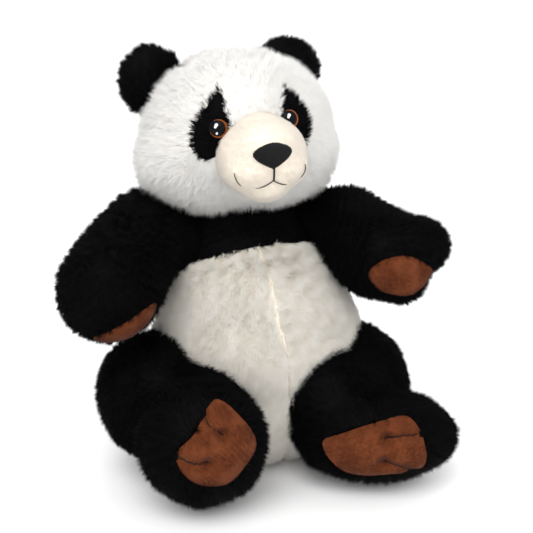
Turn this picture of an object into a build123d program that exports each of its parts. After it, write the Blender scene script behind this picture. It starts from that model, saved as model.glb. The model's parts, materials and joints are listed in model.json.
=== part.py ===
from build123d import *
import os
from math import asin, cos, pi, sin, sqrt

# ------------------------------------------------------------------------------------------------
# Plush panda, seated, facing -Y, its own left side at +X. Millimetres and degrees.
# Skins are drawn at mid pile, stuffed bodies as balls joined by tangent cones.
# ------------------------------------------------------------------------------------------------

# Fabric and clearances
SKIN = 2.0            # pile fabric, backing and half of its pile
FIT = 0.3             # skin to the stuffing inside it
SOCKET_GAP = 0.6      # limb, head or ear to what it turns against
THREAD = 0.8          # stitching thread as it lies on the fabric
SWING_GAP = 1.3       # limb to the torso at each step of its swing
ANGLE_STEP = 15       # step of the swing that a socket is cleared for

# Torso: balls (height along the spine, radius), the spine leaning back and to the panda's right
TORSO_BALLS = [(46, 66), (88, 60), (118, 40)]
TORSO_LEAN_BACK = 12
TORSO_LEAN_RIGHT = 4
TORSO_FOOT = (2, 0, 0)
YOKE_HEIGHT = 124     # seam between black yoke and white belly, along the spine
BACK_SEAM_Y = 12      # side seams of the torso, behind the spine
BEAN_BAG_BALLS = [(20, 14), (34, 12)]
BEAN_BAG_CENTRE = (-4, 18, 0)
TAIL_RADIUS = 12
TAIL_HEIGHT = 38
CLOSING_SEAM_SPAN = (66, 106)

# Neck: a ball of stuffing between torso and head
NECK_HEIGHT = 161
NECK_RADIUS = 22

# Head: balls side by side, wider than high
HEAD_RADIUS = 48
CHEEK_RADIUS = HEAD_RADIUS - 2
CHEEK_X = 13
HEAD_CENTRE = (-10, 30, 159 + HEAD_RADIUS)
HEAD_LEAN_BACK = 9
HEAD_LEAN_RIGHT = 3
CROWN_HALF_WIDTH = 17
BACK_OF_HEAD_Y = 22
CHIN_Z = -24

# Face, in head coordinates
MUZZLE_CENTRE = (0, 6 - HEAD_RADIUS, -14)
MUZZLE_BALLS = [(0, 26), (7, 24)]
NOSE_HALF_WIDTH = 11
NOSE_TOP = 5          # above the middle of the nose
NOSE_TIP = -9
NOSE_CORNER = 2.6
NOSE_THICKNESS = 1.6
NOSE_Z = -10
MOUTH_DROP = 9
MOUTH_ARM = 7
MOUTH_ARM_ANGLE = 25
EYE_X = 23
EYE_Z = 4
EYE_RADIUS = 6.3
EYE_DOME = 4.6
EYE_SINK = 1.0
SHANK_RADIUS = 1.8
SHANK_LENGTH = 11
WASHER_RADIUS = 7
WASHER_THICKNESS = 1.2
# Eye patch outline about the eye: (outward, up), from the pointed top round the outer side
PATCH_OUTLINE = [(-4, 25), (9, 13), (17, -1), (13, -14), (5, -21), (-4, -14), (-8, -2), (-7, 12)]

# Ears: half discs, folding about a line just above the head
EAR_ANGLE = 46        # from the top of the cheek ball towards its side
EAR_BACK_ANGLE = 8    # turned towards the back of the head
EAR_RADIUS = 21
EAR_HALF_THICKNESS = 7
EAR_ROLL = 4.4        # radius of the ear's rolled root
EAR_FOLD = (-20, 20)

# Arms: shoulder and paw ball centres and radii, and the way that the palm faces
SHOULDER_RIGHT = (-58, 20, 141)
PAW_RIGHT = (-106, -14, 127)
PALM_RIGHT = (0.1, -0.9, -0.42)
ARM_RADII_RIGHT = (25, 28)
ARM_SWING_RIGHT = (-5, 35)
SHOULDER_LEFT = (45, 20, 142)
PAW_LEFT = (72, -38, 135)
PALM_LEFT = (-0.3, -0.94, 0)
ARM_RADII_LEFT = (25, 27)
ARM_SWING_LEFT = (-15, 35)
PALM_PAD_RADIUS = 14

# Legs: hip and ankle ball centres and radii, then the foot, a rounded oval about its sole
HIP_RIGHT = (-64, 2, 43)
ANKLE_RIGHT = (-60, -46, 40)
LEG_RADII_RIGHT = (40, 34)
FOOT_RIGHT = (-60, -65, 42)
FOOT_HALF_RIGHT = (38, 36)
TOES_RIGHT = (-0.92, 0, 0.4)
SOLE_RIGHT = (-0.08, -0.99, 0.1)
LEG_LIFT_RIGHT = (0, 15)
HIP_LEFT = (52, -4, 41)
ANKLE_LEFT = (49, -52, 36)
LEG_RADII_LEFT = (38, 30)
FOOT_LEFT = (47, -74, 33)
FOOT_HALF_LEFT = (43, 27)
TOES_LEFT = (0.99, 0, 0.12)
SOLE_LEFT = (0, -1, -0.12)
LEG_LIFT_LEFT = (0, 18)
FOOT_THICKNESS = 40
FOOT_ROUNDING = 15
SOLE_MARGIN = 9       # bare rim of pile round the sole pad
TOE_STITCH_LENGTH = 13
TOE_STITCH_SPACING = 14

FAR = 400             # beyond the whole object
FLOOR = Pos(0, 0, -FAR / 2) * Box(FAR * 2, FAR * 2, FAR)


# ---------------------------------------------------------------------------------- plain shapes
def spindle(balls, inset=0.0):
    """Balls (height, radius) up the Z axis, joined by tangent cones, as one solid of revolution."""
    balls = [(height, radius - inset) for height, radius in balls]
    slopes = [asin((low[1] - high[1]) / (high[0] - low[0])) for low, high in zip(balls, balls[1:])]
    turns = [-pi / 2, *slopes, pi / 2]
    outline = []
    for (height, radius), first, last in zip(balls, turns, turns[1:]):
        angles = (first, (first + last) / 2, last)
        arc = [(radius * cos(angle), 0, height + radius * sin(angle)) for angle in angles]
        if outline:
            outline.append(Line(outline[-1] @ 1, arc[0]))
        outline.append(ThreePointArc(*arc))
    outline.append(Line(outline[-1] @ 1, outline[0] @ 0))
    return revolve(make_face(outline), Axis.Z)


def lens(radius, half_height):
    """Two equal ball caps rim to rim, with the Z axis through their middles."""
    ball = (radius ** 2 + half_height ** 2) / (2 * half_height)
    return Pos(0, 0, half_height - ball) * Sphere(ball) & Pos(0, 0, ball - half_height) * Sphere(ball)


def block(x=(-FAR, FAR), y=(-FAR, FAR), z=(-FAR, FAR)):
    """A box between the given limits."""
    sizes = [span[1] - span[0] for span in (x, y, z)]
    middles = [(span[1] + span[0]) / 2 for span in (x, y, z)]
    return Pos(*middles) * Box(*sizes)


def frame_at(origin, z_dir, x_dir=(1, 0, 0)):
    """Location with Z along z_dir and X as near as it can be to x_dir."""
    z_dir = Vector(*z_dir).normalized()
    x_dir = Vector(*x_dir)
    return Plane(origin, x_dir=x_dir - z_dir * x_dir.dot(z_dir), z_dir=z_dir).location


def swept(solid, axis, limits):
    """The solid at every few degrees of its swing, for what has to keep clear of it."""
    steps = max(1, round((limits[1] - limits[0]) / ANGLE_STEP))
    turns = [limits[0] + (limits[1] - limits[0]) * step / steps for step in range(steps + 1)]
    return [solid.rotate(axis, turn) for turn in turns]


def carve(solid, cutters):
    """The solid less each cutter in turn."""
    for cutter in cutters:
        solid = solid - cutter
    return solid


# ------------------------------------------------------------------------------------------ frames
TORSO = Pos(*TORSO_FOOT) * Rot(0, -TORSO_LEAN_RIGHT, 0) * Rot(-TORSO_LEAN_BACK, 0, 0)
HEAD = Pos(*HEAD_CENTRE) * Rot(0, -HEAD_LEAN_RIGHT, 0) * Rot(-HEAD_LEAN_BACK, 0, 0)
NECK = TORSO * Pos(0, 0, NECK_HEIGHT)
SIDES = {"right": -1, "left": 1}


def along(start, end):
    """Vector from one point to another."""
    return Vector(*end) - Vector(*start)


def lifting_axis(start, end):
    """Level axis through start, square to the limb; a positive turn lifts the limb's far end."""
    limb = along(start, end)
    return Axis(start, (limb.Y, -limb.X, 0))


def cheek_point(side, outward, height=0.0):
    """Point at a height above the cheek ball, straight out from its centre."""
    return Vector(SIDES[side] * CHEEK_X, 0, 0) + outward.normalized() * (CHEEK_RADIUS + height)


# -------------------------------------------------------------------------------------------- limbs
ARMS = {
    "right": {"root": SHOULDER_RIGHT, "tip": PAW_RIGHT, "radii": ARM_RADII_RIGHT,
              "palm": PALM_RIGHT, "swing": ARM_SWING_RIGHT},
    "left": {"root": SHOULDER_LEFT, "tip": PAW_LEFT, "radii": ARM_RADII_LEFT,
             "palm": PALM_LEFT, "swing": ARM_SWING_LEFT},
}
LEGS = {
    "right": {"root": HIP_RIGHT, "tip": ANKLE_RIGHT, "radii": LEG_RADII_RIGHT, "foot": FOOT_RIGHT,
              "foot_half": FOOT_HALF_RIGHT, "toes": TOES_RIGHT, "sole": SOLE_RIGHT, "swing": LEG_LIFT_RIGHT},
    "left": {"root": HIP_LEFT, "tip": ANKLE_LEFT, "radii": LEG_RADII_LEFT, "foot": FOOT_LEFT,
             "foot_half": FOOT_HALF_LEFT, "toes": TOES_LEFT, "sole": SOLE_LEFT, "swing": LEG_LIFT_LEFT},
}


def limb_frame(limb, x_dir=(1, 0, 0)):
    """Z from the limb's root ball to its tip ball."""
    return frame_at(limb["root"], along(limb["root"], limb["tip"]), x_dir)


def limb_shape(limb, inset=0.0):
    """Root ball, tip ball and the cone between them."""
    length = along(limb["root"], limb["tip"]).length
    balls = [(0, limb["radii"][0]), (length, limb["radii"][1])]
    return limb_frame(limb) * spindle(balls, inset)


def foot_frame(leg):
    """Middle of the foot: Z out through the sole, X towards the toes."""
    return frame_at(leg["foot"], leg["sole"], leg["toes"])


def leg_shape(leg, inset=0.0):
    """The limb with its foot, a thick oval with rounded edges behind the sole."""
    long_half, short_half = (half - inset for half in leg["foot_half"])
    thickness = FOOT_THICKNESS - 2 * inset
    oval = Pos(0, 0, -thickness / 2) * extrude(Ellipse(long_half, short_half), thickness)
    oval = fillet(oval.edges(), FOOT_ROUNDING - inset)
    return limb_shape(leg, inset) + foot_frame(leg) * oval


def arm_pieces(side):
    """Two skin panels, the palm pad let into the inner one, and the stuffing."""
    arm = ARMS[side]
    halves = limb_frame(arm, arm["palm"])
    shell = limb_shape(arm) - limb_shape(arm, SKIN)
    inner = shell & halves * block(x=(0, FAR))
    from_paw = (Align.CENTER, Align.CENTER, Align.MIN)
    palm = frame_at(arm["tip"], arm["palm"]) * Cylinder(PALM_PAD_RADIUS, FAR, align=from_paw)
    return {
        f"arm_outer_panel_{side}": shell & halves * block(x=(-FAR, 0)),
        f"arm_inner_panel_{side}": inner - palm,
        f"palm_pad_{side}": inner & palm,
        f"arm_filling_{side}": limb_shape(arm, SKIN + FIT),
    }


def leg_pieces(side):
    """Upper and lower skin panels, the sole pad with its two toe stitches, and the stuffing."""
    leg = LEGS[side]
    foot = foot_frame(leg)
    sole_z = FOOT_THICKNESS / 2
    shell = leg_shape(leg) - leg_shape(leg, SKIN)
    long_half, short_half = (half - SOLE_MARGIN for half in leg["foot_half"])
    sole = foot * Pos(0, 0, sole_z - SKIN) * extrude(Ellipse(long_half, short_half), FAR)
    skin = shell - sole
    stitches = []
    for row in (-1, 1):
        middle = Pos(long_half - TOE_STITCH_LENGTH, row * TOE_STITCH_SPACING / 2, sole_z + THREAD / 2)
        stitches.append(foot * middle * Rot(0, 90, 0) * Cylinder(THREAD / 2, TOE_STITCH_LENGTH))
    return {
        f"leg_upper_panel_{side}": skin & foot * block(y=(0, FAR)),
        f"leg_lower_panel_{side}": skin & foot * block(y=(-FAR, 0)),
        f"sole_pad_{side}": shell & sole,
        f"toe_stitches_{side}": Compound(children=stitches),
        f"leg_filling_{side}": leg_shape(leg, SKIN + FIT),
    }


# -------------------------------------------------------------------------------------------- torso
def torso_clearances():
    """What turns in the torso's sockets: both arms, both legs and the neck ball."""
    cutters = [NECK * Sphere(NECK_RADIUS + SOCKET_GAP)]
    for limb in (*ARMS.values(), *LEGS.values()):
        cutters += swept(limb_shape(limb, -SWING_GAP), lifting_axis(limb["root"], limb["tip"]), limb["swing"])
    return cutters


def torso_pieces():
    """Black yoke, white belly and lower back in halves, seat, tail, stuffing and pellet bag."""
    whole = TORSO * spindle(TORSO_BALLS) - FLOOR
    hollow = TORSO * spindle(TORSO_BALLS, SKIN) & block(z=(SKIN, FAR))
    filling = TORSO * spindle(TORSO_BALLS, SKIN + FIT) & block(z=(SKIN + FIT, FAR))
    bag_place = Pos(*BEAN_BAG_CENTRE)
    cutters = torso_clearances()
    shell = carve(whole - hollow, cutters)
    wall = shell & block(z=(SKIN, FAR))
    front = TORSO * block(y=(-FAR, BACK_SEAM_Y))
    back = TORSO * block(y=(BACK_SEAM_Y, FAR))
    yoke = wall & TORSO * block(z=(YOKE_HEIGHT, FAR))
    lower = wall & TORSO * block(z=(-FAR, YOKE_HEIGHT))
    right = TORSO * block(x=(-FAR, 0))
    left = TORSO * block(x=(0, FAR))
    thread_strip = block(x=(-THREAD / 2, THREAD / 2), y=(BACK_SEAM_Y, FAR), z=CLOSING_SEAM_SPAN)
    raised = TORSO * (spindle(TORSO_BALLS, -THREAD) - spindle(TORSO_BALLS))
    tail_ball = TORSO * Pos(0, TORSO_BALLS[0][1], TAIL_HEIGHT) * Sphere(TAIL_RADIUS)
    return {
        "chest_panel": yoke & front,
        "upper_back_panel": yoke & back,
        "belly_panel_right": lower & front & right,
        "belly_panel_left": lower & front & left,
        "lower_back_panel_right": lower & back & right,
        "lower_back_panel_left": lower & back & left,
        "seat_panel": shell & block(z=(0, SKIN)),
        "body_filling": carve(filling, cutters) - bag_place * spindle(BEAN_BAG_BALLS, -FIT),
        "bean_bag": bag_place * spindle(BEAN_BAG_BALLS),
        "tail": tail_ball - whole,
        "closing_seam": raised & TORSO * thread_strip,
    }


def neck_pieces():
    """The stuffed ball that fills both neck openings, and its cover."""
    return {
        "neck_cover": NECK * (Sphere(NECK_RADIUS) - Sphere(NECK_RADIUS - SKIN)),
        "neck_filling": NECK * Sphere(NECK_RADIUS - SKIN - FIT),
    }


# --------------------------------------------------------------------------------------------- head
def eye_frame(side):
    """Middle of one eye on the skin, Z straight out of it."""
    from_centre = EYE_X - CHEEK_X
    y = -sqrt(CHEEK_RADIUS ** 2 - from_centre ** 2 - EYE_Z ** 2)
    outward = Vector(SIDES[side] * from_centre, y, EYE_Z)
    return HEAD * frame_at(cheek_point(side, outward), outward)


def eye_solid():
    """Domed safety eye with its ribbed shank behind it."""
    ball_radius = (EYE_RADIUS ** 2 + EYE_DOME ** 2) / (2 * EYE_DOME)
    dome = Pos(0, 0, EYE_DOME - ball_radius) * Sphere(ball_radius) & block(z=(-EYE_SINK, FAR))
    from_dome = (Align.CENTER, Align.CENTER, Align.MAX)
    return dome + Pos(0, 0, -EYE_SINK) * Cylinder(SHANK_RADIUS, SHANK_LENGTH, align=from_dome)


def washer_solid(clearance=0.0):
    """Lock washer pressed on the shank behind the skin."""
    middle = -SKIN - 2 * FIT - WASHER_THICKNESS / 2 - EYE_SINK
    disc = Cylinder(WASHER_RADIUS + clearance, WASHER_THICKNESS + 2 * clearance)
    return Pos(0, 0, middle) * disc


def patch_prism(side):
    """Everything in front of and behind one eye patch."""
    points = [(SIDES[side] * (EYE_X + out), EYE_Z + up) for out, up in PATCH_OUTLINE]
    outline = make_face(Spline(*points, periodic=True))
    return HEAD * extrude(Plane.XZ * outline, FAR)


def nose_outline():
    """Triangle with rounded corners, point down."""
    corners = [(-NOSE_HALF_WIDTH, NOSE_TOP), (NOSE_HALF_WIDTH, NOSE_TOP), (0, NOSE_TIP)]
    triangle = make_face(Polyline(*corners, close=True))
    return fillet(triangle.vertices(), NOSE_CORNER)


def muzzle_pieces(skull, eyes):
    """Muzzle cover and stuffing in front of the head, satin-stitched nose and the mouth thread."""
    def muzzle(inset):
        return HEAD * Pos(*MUZZLE_CENTRE) * Rot(90, 0, 0) * spindle(MUZZLE_BALLS, inset)

    front = HEAD * block(y=(-FAR, MUZZLE_CENTRE[1]))
    nose_prism = HEAD * Pos(0, 0, NOSE_Z) * extrude(Plane.XZ * nose_outline(), FAR)
    lip_z = NOSE_Z + NOSE_TIP - MOUTH_DROP
    drop = block(x=(-THREAD / 2, THREAD / 2), z=(lip_z, NOSE_Z + NOSE_TIP + NOSE_CORNER))
    threads = [drop]
    for turn in (-1, 1):
        arm = block(x=(0, MOUTH_ARM), z=(-THREAD / 2, THREAD / 2))
        angle = MOUTH_ARM_ANGLE if turn > 0 else 180 - MOUTH_ARM_ANGLE
        threads.append(Pos(0, 0, lip_z) * Rot(0, angle, 0) * arm)
    lines = HEAD * (threads[0] + threads[1] + threads[2])
    stitch = (muzzle(-THREAD) - muzzle(0)) & front & lines
    return {
        "muzzle_cover": carve(muzzle(0) - muzzle(SKIN), [skull, *eyes]),
        "muzzle_filling": carve(muzzle(SKIN + FIT), [skull, *eyes]),
        "nose": (muzzle(-NOSE_THICKNESS) - muzzle(0)) & front & nose_prism,
        "mouth_stitching": stitch - nose_prism,
    }


def head_pieces():
    """Pile panels round the stuffing, eye patches, safety eyes with washers, and the muzzle."""
    balls = [(-CHEEK_X, CHEEK_RADIUS), (0, HEAD_RADIUS), (CHEEK_X, CHEEK_RADIUS)]

    def skull(inset):
        return HEAD * Rot(0, 90, 0) * spindle(balls, inset)

    eyes = {side: eye_frame(side) * eye_solid() for side in SIDES}
    washers = {side: eye_frame(side) * (washer_solid() - Cylinder(SHANK_RADIUS, FAR)) for side in SIDES}
    washer_rooms = [eye_frame(side) * washer_solid(FIT) for side in SIDES]
    patches = {side: patch_prism(side) for side in SIDES}
    neck = NECK * Sphere(NECK_RADIUS + SOCKET_GAP)
    shell = carve(skull(0) - skull(SKIN), [neck, *eyes.values()])
    front = HEAD * block(y=(-FAR, BACK_OF_HEAD_Y), z=(CHIN_Z, FAR))
    crown = HEAD * block(x=(-CROWN_HALF_WIDTH, CROWN_HALF_WIDTH))
    open_front = carve(shell & front, patches.values())
    pieces = {
        "head_crown_panel": open_front & crown,
        "head_back_panel": shell & HEAD * block(y=(BACK_OF_HEAD_Y, FAR)),
        "chin_panel": carve(shell & HEAD * block(y=(-FAR, BACK_OF_HEAD_Y), z=(-FAR, CHIN_Z)), patches.values()),
        "head_filling": carve(skull(SKIN + FIT), [neck, *eyes.values(), *washer_rooms]),
    }
    for side, sign in SIDES.items():
        half = HEAD * block(x=(min(0, sign * FAR), max(0, sign * FAR)))
        pieces[f"head_side_panel_{side}"] = (open_front & half) - crown
        pieces[f"eye_patch_{side}"] = shell & patches[side]
        pieces[f"eye_{side}"] = eyes[side]
        pieces[f"eye_washer_{side}"] = washers[side]
    pieces.update(muzzle_pieces(skull(0), eyes.values()))
    return pieces


def ear_frame(side):
    """Middle of the ear's fold line: X along the fold, Z away from the head."""
    up = Vector(0, 0, 1).rotate(Axis.X, -EAR_BACK_ANGLE)
    outward = up.rotate(Axis.Y, SIDES[side] * EAR_ANGLE)
    return HEAD * frame_at(cheek_point(side, outward, EAR_ROLL + SOCKET_GAP), outward)


def ear_pieces(side):
    """Front and back panels of a half disc that folds about its rolled root."""
    place = ear_frame(side)
    disc = Rot(90, 0, 0) * lens(EAR_RADIUS, EAR_HALF_THICKNESS)
    root = disc & Rot(0, 90, 0) * Cylinder(EAR_ROLL, FAR)
    ear = (disc & block(z=(0, FAR))) + root
    return {
        f"ear_front_{side}": place * (ear & block(y=(-FAR, 0))),
        f"ear_back_{side}": place * (ear & block(y=(0, FAR))),
    }


# ----------------------------------------------------------------------------------------- assembly
def build():
    """Every node, moved so that the origin is the bottom centre of the whole object's box."""
    pieces = {**torso_pieces(), **neck_pieces(), **head_pieces()}
    for side in SIDES:
        pieces.update(ear_pieces(side))
        pieces.update(arm_pieces(side))
        pieces.update(leg_pieces(side))
    boxes = [solid.bounding_box() for solid in pieces.values()]
    low_x, low_y, low_z = (min(values) for values in zip(*(tuple(box.min) for box in boxes)))
    high_x, high_y, _ = (max(values) for values in zip(*(tuple(box.max) for box in boxes)))
    shift = Pos(-(low_x + high_x) / 2, -(low_y + high_y) / 2, -low_z)
    return {name: shift * solid for name, solid in pieces.items()}, shift


def print_joints(shift):
    """Joint centres and axes in the shifted frame, in metres."""
    def show(name, centre, axis):
        centre = (shift * Pos(*centre)).position / 1000
        axis = Vector(*axis).normalized()
        print(f"joint {name}: pos {centre.X:.5f} {centre.Y:.5f} {centre.Z:.5f}"
              f" axis {axis.X:.5f} {axis.Y:.5f} {axis.Z:.5f}")

    neck = NECK.position
    show("neck_nod", neck, (1, 0, 0))
    show("head_turn", neck, (TORSO * Plane.XY).z_dir)
    for side in SIDES:
        fold = ear_frame(side)
        show(f"ear_fold_{side}", fold.position, Plane(fold).x_dir)
        for name, limb in (("arm_lift", ARMS[side]), ("leg_lift", LEGS[side])):
            axis = lifting_axis(limb["root"], limb["tip"])
            show(f"{name}_{side}", axis.position, axis.direction)


def main():
    os.makedirs("parts", exist_ok=True)
    pieces, shift = build()
    for name, solid in pieces.items():
        export_step(solid, f"parts/{name}.step")
    print_joints(shift)


main()
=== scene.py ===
import json
import math
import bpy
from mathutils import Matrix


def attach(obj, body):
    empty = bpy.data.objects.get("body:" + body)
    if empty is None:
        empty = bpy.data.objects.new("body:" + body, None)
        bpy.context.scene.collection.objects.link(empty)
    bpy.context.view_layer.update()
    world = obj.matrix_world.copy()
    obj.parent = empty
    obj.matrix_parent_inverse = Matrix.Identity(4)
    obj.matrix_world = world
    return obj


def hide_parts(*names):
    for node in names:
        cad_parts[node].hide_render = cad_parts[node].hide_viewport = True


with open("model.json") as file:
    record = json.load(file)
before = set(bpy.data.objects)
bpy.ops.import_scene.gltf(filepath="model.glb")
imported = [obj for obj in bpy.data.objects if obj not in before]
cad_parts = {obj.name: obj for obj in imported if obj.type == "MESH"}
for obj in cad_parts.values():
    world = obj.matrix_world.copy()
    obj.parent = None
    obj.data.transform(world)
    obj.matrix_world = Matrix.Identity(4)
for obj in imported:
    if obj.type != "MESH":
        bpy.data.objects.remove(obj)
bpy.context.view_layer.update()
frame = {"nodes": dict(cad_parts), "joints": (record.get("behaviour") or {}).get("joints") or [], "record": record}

import zlib

import bmesh
import bpy
import numpy as np
from mathutils import Matrix, Vector
from mathutils.bvhtree import BVHTree

# ------------------------------------------------------------------------------------------------
# A seated plush panda. Shapes are worked out in millimetres in the frame's own axes and turned
# into metres when a mesh is made. The panda faces -Y, and its own left side is at +X.
# ------------------------------------------------------------------------------------------------
MM = 0.001
FLOOR_GAP = 0.4          # lowest point of any skin or strand
VOXEL = 4.6              # cell of the remesh that joins a skin's balls
MUZZLE_VOXEL = 2.8
PRESSURE = 4.0           # of the cloth that fills a skin
PRESSURE_FRAMES = 16
MOST_PUFF = 2.6          # between seams
CLOTH_STIFFNESS = 15
SEAM_HOLD = 0.55         # cells either side of a seam that the pressure can't move
SKIN_THICKNESS = 1.2
RESTING_BAND = 2.0       # height above the floor gap that a skin's weight presses flat
RESTING_SHARE = 0.04     # how much of its shape that band keeps

# Where the panels are sewn together, in the head's and the spine's own axes
CROWN_HALF_WIDTH = 17
HEAD_BACK = 22
CHIN_TOP = -24
TORSO_SIDE = 12
YOKE_HEIGHT, YOKE_ARCH = 137, 0.0030
SEAT_SLOPE = -0.85       # normals steeper than this belong to the seat
JOINTS = {joint["name"]: joint for joint in frame["joints"]}
SIDES = {"right": -1, "left": 1}


# ------------------------------------------------------------------------------- vectors and frames
def unit(v):
    """Vectors of length one, row by row."""
    v = np.asarray(v, float)
    return v / np.maximum(np.linalg.norm(v, axis=-1, keepdims=True), 1e-9)


def joint_mm(name):
    return np.array(JOINTS[name]["pos_m"]) / MM


def turn(x=0.0, y=0.0, z=0.0):
    """Rotation about X, then Y, then Z, in degrees, as a 3 x 3 array."""
    parts = [Matrix.Rotation(math.radians(a), 3, n) for a, n in ((z, "Z"), (y, "Y"), (x, "X"))]
    return np.array(parts[0] @ parts[1] @ parts[2])


def axes(z, x):
    """Columns X, Y, Z with Z along z and X as near as it can be to x."""
    z = unit(z)
    x = unit(np.asarray(x, float) - z * np.dot(x, z))
    return np.stack([x, np.cross(z, x), z], axis=1)


class Place:
    """An origin and axes, in millimetres."""

    def __init__(self, origin, rotation):
        self.origin, self.rotation = np.asarray(origin, float), np.asarray(rotation, float)

    def out(self, points):
        return self.origin + np.asarray(points, float) @ self.rotation.T

    def into(self, points):
        return (np.asarray(points, float) - self.origin) @ self.rotation


NECK = joint_mm("neck_nod")
SPINE_AXIS = np.array(JOINTS["head_turn"]["axis"])
NECK_HEIGHT = 161.0      # along the spine, from the floor to the neck
SPINE = Place(NECK - SPINE_AXIS * NECK_HEIGHT, axes(SPINE_AXIS, (1, 0, 0)))
HEAD_ABOVE_NECK = (-1.0, -3.5, 50.0)
HEAD = Place(NECK + HEAD_ABOVE_NECK, turn(-9, -3, 0))


# -------------------------------------------------------------------------------------- skin shapes
def ball(place, centre, radii, rotation=None):
    """An ellipsoid as (centre, radii, axes) in the frame."""
    own = np.eye(3) if rotation is None else rotation
    radii = (radii,) * 3 if np.isscalar(radii) else radii
    return place.out(centre), np.array(radii, float), place.rotation @ own


def chain(points, radii, steps=5):
    """Balls strung between points, for a limb."""
    balls = []
    for (a, b), (ra, rb) in zip(zip(points, points[1:]), zip(radii, radii[1:])):
        for t in np.linspace(0, 1, steps):
            centre = np.asarray(a, float) * (1 - t) + np.asarray(b, float) * t
            balls.append((centre, np.full(3, ra * (1 - t) + rb * t), np.eye(3)))
    return balls


def depth_inside(balls, points):
    """How far points lie inside the union of the balls, in millimetres; negative outside."""
    best = np.full(len(points), -1e9)
    for centre, radii, rotation in balls:
        local = (points - centre) @ rotation
        scaled = np.linalg.norm(local / radii, axis=1)
        best = np.maximum(best, (1 - scaled) * radii.min() * 0.5 + (1 - scaled) * radii.mean() * 0.5)
    return best


def torso_balls():
    balls = [
        ball(SPINE, (0, 2, 44), (62, 58, 50)),
        ball(SPINE, (0, -3, 72), (66, 61, 54)),
        ball(SPINE, (0, -2, 102), (58, 53, 44)),
        ball(SPINE, (0, 2, 130), (46, 42, 30)),
        ball(SPINE, (0, 6, 150), (36, 34, 26)),
    ]
    for sign in SIDES.values():
        balls.append(ball(SPINE, (sign * 33, 6, 134), (27, 29, 25)))
    return balls


def head_balls():
    balls = [
        ball(HEAD, (0, 0, 0), (57, 50, 46)),
        ball(HEAD, (0, -8, 14), (42, 40, 32)),
        ball(HEAD, (0, 10, 2), (50, 42, 44)),
        ball(HEAD, (0, -18, -6), (36, 32, 34)),
    ]
    balls.append(ball(HEAD, (-28, -7, -12), (35, 36, 29)))
    balls.append(ball(HEAD, (24, -7, -14), (33, 36, 30)))
    return balls


def muzzle_balls():
    return [
        ball(HEAD, (0.5, -46, -14), (27.5, 25, 24.5)),
        ball(HEAD, (0.5, -42, -2), (18, 18, 15.5)),
        ball(HEAD, (0, -54, -9), (21, 20, 17)),
        ball(HEAD, (-9, -52, -20), (17, 18, 14)),
        ball(HEAD, (9, -52, -20), (17, 18, 14)),
        ball(HEAD, (0, -50, -31), (15, 15, 10)),
    ]


EAR_MIDDLE = {"right": (-54, 6, 40.5), "left": (43.5, 6, 39)}
EAR_TURN = {"right": -47, "left": 40}
EAR_PLACES = {side: Place(HEAD.out(EAR_MIDDLE[side]), HEAD.rotation @ turn(y=EAR_TURN[side]))
              for side in SIDES}


def ear_balls(side):
    place = EAR_PLACES[side]
    return [
        ball(place, (0, 0, -2), (20.5, 8, 15)),
        ball(place, (0, 2, -9), (22, 8, 11)),
    ]


SHOULDER = {side: joint_mm(f"arm_lift_{side}") for side in SIDES}
ARM_LINE = {
    "right": [(0, 0, 0), (-14, 1, 9), (-30, -14, -6), (-45, -34, -16)],
    "left": [(0, 0, 1), (11, -14, 2), (20, -40, -7), (22, -54, -6)],
}
ARM_RADII = {"right": [21, 24.5, 28.5, 29.5], "left": [22, 24.5, 28, 25]}
PALM_FACING = {"right": unit((0.01, -0.97, -0.25)), "left": unit((-0.29, -0.95, 0.08))}
PALM_MIDDLE = {"right": (-39.7, -39.7, -27.7), "left": (27, -60, -13)}
PALM_LENGTHWAYS = {"right": (0.87, -0.12, 0.49), "left": (0.95, -0.30, 0)}
PALM_OUTLINE = {
    "right": [(-20, -1), (-15, 4.5), (0, 6.5), (15, 4.5), (20, -1), (14, -7), (0, -9.5), (-14, -7)],
    "left": [(-19, 1), (-12, 9.5), (0, 12.5), (12, 9), (20, 0), (12, -9), (2, -12.5), (-12, -9)],
}
PAW = {side: SHOULDER[side] + ARM_LINE[side][-1] for side in SIDES}


def arm_balls(side):
    points = [SHOULDER[side] + np.array(p, float) for p in ARM_LINE[side]]
    balls = chain(points, ARM_RADII[side])
    if side == "left":
        balls.append((PAW[side] + (16, -7, 7), np.array([20.0, 20, 17]), np.eye(3)))
        balls.append((PAW[side] + (5, -8, -13), np.array([16.0, 17, 14]), np.eye(3)))
    return balls


HIP = {side: joint_mm(f"leg_lift_{side}") for side in SIDES}
FOOT_OFFSET = {"right": (3.5, -66, 0), "left": (-3, -61, -9)}
SOLE_NORMAL = {"right": unit((-0.08, -0.99, 0.13)), "left": unit((-0.33, -0.94, 0.06))}
TOES = {"right": unit((-0.90, -0.1, 0.46)), "left": unit((0.98, -0.3, 0.02))}
FOOT_HALF = {"right": (37, 36, 24), "left": (49, 26, 24)}
SOLE_OUTLINE = {
    "right": [(8, -28), (-10, -24), (-23, -14), (-21, 0), (-14, 13), (4, 17), (18, 7), (14, -8)],
    "left": [(-32, 3), (-18, 11), (4, 17), (19, 17), (27, 5), (27, -12), (8, -15), (-18, -14)],
}
TOE_STITCHES = {"right": [(-2, -13), (0, 4)], "left": [(4, 7), (3, -6)]}
TOE_CREASE_ENDS = {"right": [(13, -20), (18, 7)], "left": [(25, 8), (22, -15)]}
FOOT = {side: Place(HIP[side] + FOOT_OFFSET[side], axes(SOLE_NORMAL[side], TOES[side])) for side in SIDES}


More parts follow.
